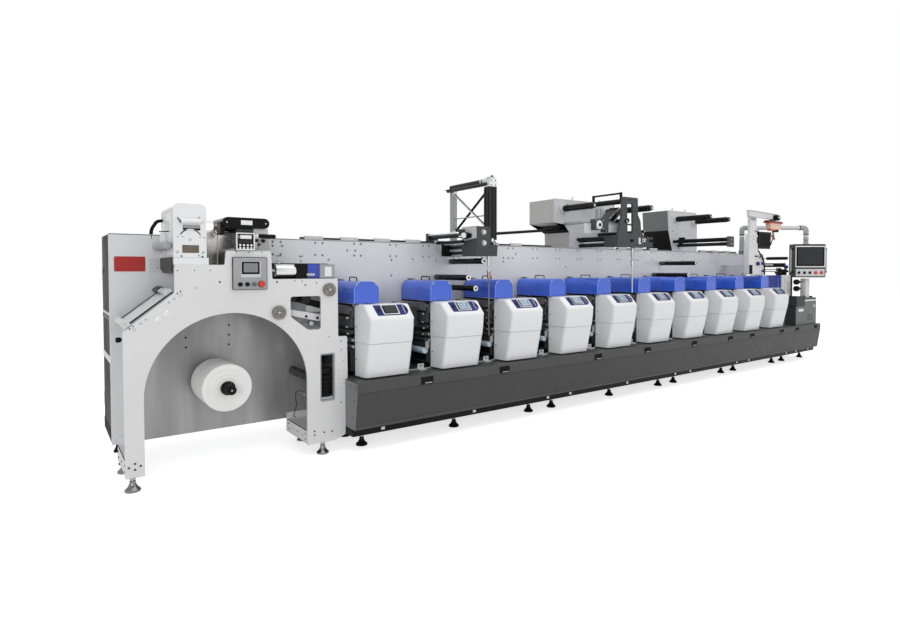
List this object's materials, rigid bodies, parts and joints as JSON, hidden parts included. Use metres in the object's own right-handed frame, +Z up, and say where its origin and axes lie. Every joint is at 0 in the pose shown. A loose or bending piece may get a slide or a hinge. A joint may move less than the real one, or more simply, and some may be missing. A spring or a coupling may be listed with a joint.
{
  "type": "flexographic label press",
  "caption": "Inline label press: unwinder with arch, row of hooded print units on a long base, blue guards, tall back wall, overhead winders and control panel on a swing arm.",
  "frame": {"origin": "floor level under the middle of the machine's plan", "axes": "+X along the machine from the unwinder to the delivery end, +Y from the operator's side to the back, +Z up"},
  "size_m": [10.0298, 1.5284, 2.412],
  "materials": {
    "grey": "grey textured paint",
    "wall": "light grey satin paint",
    "bed": "dark grey textured paint",
    "white": "satin white paint",
    "dark": "dark grey paint",
    "guard": "blue transparent acrylic",
    "black": "black anodised roller",
    "steel": "brushed steel",
    "paper": "white paper roll, matt"
  },
  "bodies": {
    "press": {"arm_post": "grey", "back_wall": "wall", "bed_1": "bed", "bed_2": "bed", "bed_3": "bed", "bed_4": "bed", "bed_5": "bed", "cowl_01": "white", "cowl_02": "white", "cowl_03": "white", "cowl_04": "white", "cowl_05": "white", "cowl_06": "white", "cowl_07": "white", "cowl_08": "white", "cowl_09": "white", "cowl_10": "white", "end_cabinet": "dark", "end_frame": "wall", "end_guard": "guard", "infeed_nip": "steel", "inspection_beam": "white", "laminator_frame": "dark", "operator_box": "grey", "rear_cabinets": "grey", "treater_tower": "white", "turn_bar_tower": "dark", "unwinder_frame": "white", "web_guide": "grey", "winder_housing_1": "grey", "winder_housing_2": "grey"},
    "paper_roll": {"paper_roll": "paper"},
    "panel_arm": {"panel_arm": "grey"},
    "control_panel": {"control_panel": "grey"},
    "guard_01": {"guard_01": "guard"},
    "guard_02": {"guard_02": "guard"},
    "guard_03": {"guard_03": "guard"},
    "guard_04": {"guard_04": "guard"},
    "guard_05": {"guard_05": "guard"},
    "guard_06": {"guard_06": "guard"},
    "guard_07": {"guard_07": "guard"},
    "guard_08": {"guard_08": "guard"},
    "guard_09": {"guard_09": "guard"},
    "guard_10": {"guard_10": "guard"},
    "winding_shaft_1": {"winding_shaft_1": "black"},
    "winding_shaft_2": {"winding_shaft_2": "black"},
    "winding_shaft_3": {"winding_shaft_3": "black"},
    "winding_shaft_4": {"winding_shaft_4": "black"},
    "idler_1": {"idler_1": "black"},
    "idler_2": {"idler_2": "black"},
    "idler_3": {"idler_3": "black"},
    "idler_4": {"idler_4": "black"},
    "idler_5": {"idler_5": "black"},
    "rewind_roller": {"rewind_roller": "black"}
  },
  "joints": [
    {"name": "guard_01_hinge", "type": "hinge", "parent": "press", "child": "guard_01", "pos_m": [-3.23293, 0.08219, 1.402], "axis": [-1, 0, 0], "range_deg": [0, 80]},
    {"name": "guard_02_hinge", "type": "hinge", "parent": "press", "child": "guard_02", "pos_m": [-2.48293, 0.08219, 1.402], "axis": [-1, 0, 0], "range_deg": [0, 80]},
    {"name": "guard_03_hinge", "type": "hinge", "parent": "press", "child": "guard_03", "pos_m": [-1.73293, 0.08219, 1.402], "axis": [-1, 0, 0], "range_deg": [0, 80]},
    {"name": "guard_04_hinge", "type": "hinge", "parent": "press", "child": "guard_04", "pos_m": [-0.98293, 0.08219, 1.402], "axis": [-1, 0, 0], "range_deg": [0, 80]},
    {"name": "guard_05_hinge", "type": "hinge", "parent": "press", "child": "guard_05", "pos_m": [-0.23293, 0.08219, 1.402], "axis": [-1, 0, 0], "range_deg": [0, 80]},
    {"name": "guard_06_hinge", "type": "hinge", "parent": "press", "child": "guard_06", "pos_m": [0.51707, 0.08219, 1.402], "axis": [-1, 0, 0], "range_deg": [0, 80]},
    {"name": "guard_07_hinge", "type": "hinge", "parent": "press", "child": "guard_07", "pos_m": [1.26707, 0.08219, 1.402], "axis": [-1, 0, 0], "range_deg": [0, 80]},
    {"name": "guard_08_hinge", "type": "hinge", "parent": "press", "child": "guard_08", "pos_m": [2.01707, 0.08219, 1.402], "axis": [-1, 0, 0], "range_deg": [0, 45]},
    {"name": "guard_09_hinge", "type": "hinge", "parent": "press", "child": "guard_09", "pos_m": [2.76707, 0.08219, 1.402], "axis": [-1, 0, 0], "range_deg": [0, 80]},
    {"name": "guard_10_hinge", "type": "hinge", "parent": "press", "child": "guard_10", "pos_m": [3.51707, 0.08219, 1.402], "axis": [-1, 0, 0], "range_deg": [0, 80]},
    {"name": "paper_roll_spin", "type": "hinge", "parent": "press", "child": "paper_roll", "pos_m": [-4.31993, -0.16581, 0.62], "axis": [0, 1, 0], "continuous": true},
    {"name": "rewind_roller_spin", "type": "hinge", "parent": "press", "child": "rewind_roller", "pos_m": [2.01507, -0.32196, 1.905], "axis": [0, 1, 0], "continuous": true},
    {"name": "winding_shaft_1_spin", "type": "hinge", "parent": "press", "child": "winding_shaft_1", "pos_m": [-0.34193, -0.16696, 2.235], "axis": [0, 1, 0], "continuous": true},
    {"name": "winding_shaft_2_spin", "type": "hinge", "parent": "press", "child": "winding_shaft_2", "pos_m": [0.43507, -0.27196, 2.235], "axis": [0, 1, 0], "continuous": true},
    {"name": "winding_shaft_3_spin", "type": "hinge", "parent": "press", "child": "winding_shaft_3", "pos_m": [1.97507, -0.19696, 2.226], "axis": [0, 1, 0], "continuous": true},
    {"name": "winding_shaft_4_spin", "type": "hinge", "parent": "press", "child": "winding_shaft_4", "pos_m": [2.47007, -0.19196, 2.215], "axis": [0, 1, 0], "continuous": true},
    {"name": "idler_1_spin", "type": "hinge", "parent": "press", "child": "idler_1", "pos_m": [-2.18493, -0.18946, 1.42], "axis": [0, 1, 0], "continuous": true},
    {"name": "idler_2_spin", "type": "hinge", "parent": "press", "child": "idler_2", "pos_m": [-2.00293, -0.18946, 1.58], "axis": [0, 1, 0], "continuous": true},
    {"name": "idler_3_spin", "type": "hinge", "parent": "press", "child": "idler_3", "pos_m": [1.43607, -0.18946, 1.422], "axis": [0, 1, 0], "continuous": true},
    {"name": "idler_4_spin", "type": "hinge", "parent": "press", "child": "idler_4", "pos_m": [1.61207, -0.18946, 1.583], "axis": [0, 1, 0], "continuous": true},
    {"name": "idler_5_spin", "type": "hinge", "parent": "press", "child": "idler_5", "pos_m": [-2.09993, -0.18946, 1.317], "axis": [0, 1, 0], "continuous": true},
    {"name": "panel_arm_swing", "type": "hinge", "parent": "press", "child": "panel_arm", "pos_m": [3.93507, 0.14419, 2.05], "axis": [0, 0, 1], "range_deg": [-27, 35]},
    {"name": "control_panel_swivel", "type": "hinge", "parent": "panel_arm", "child": "control_panel", "pos_m": [4.78736, -0.50273, 1.915], "axis": [0, 0, 1], "range_deg": [-60, 60]}
  ]
}
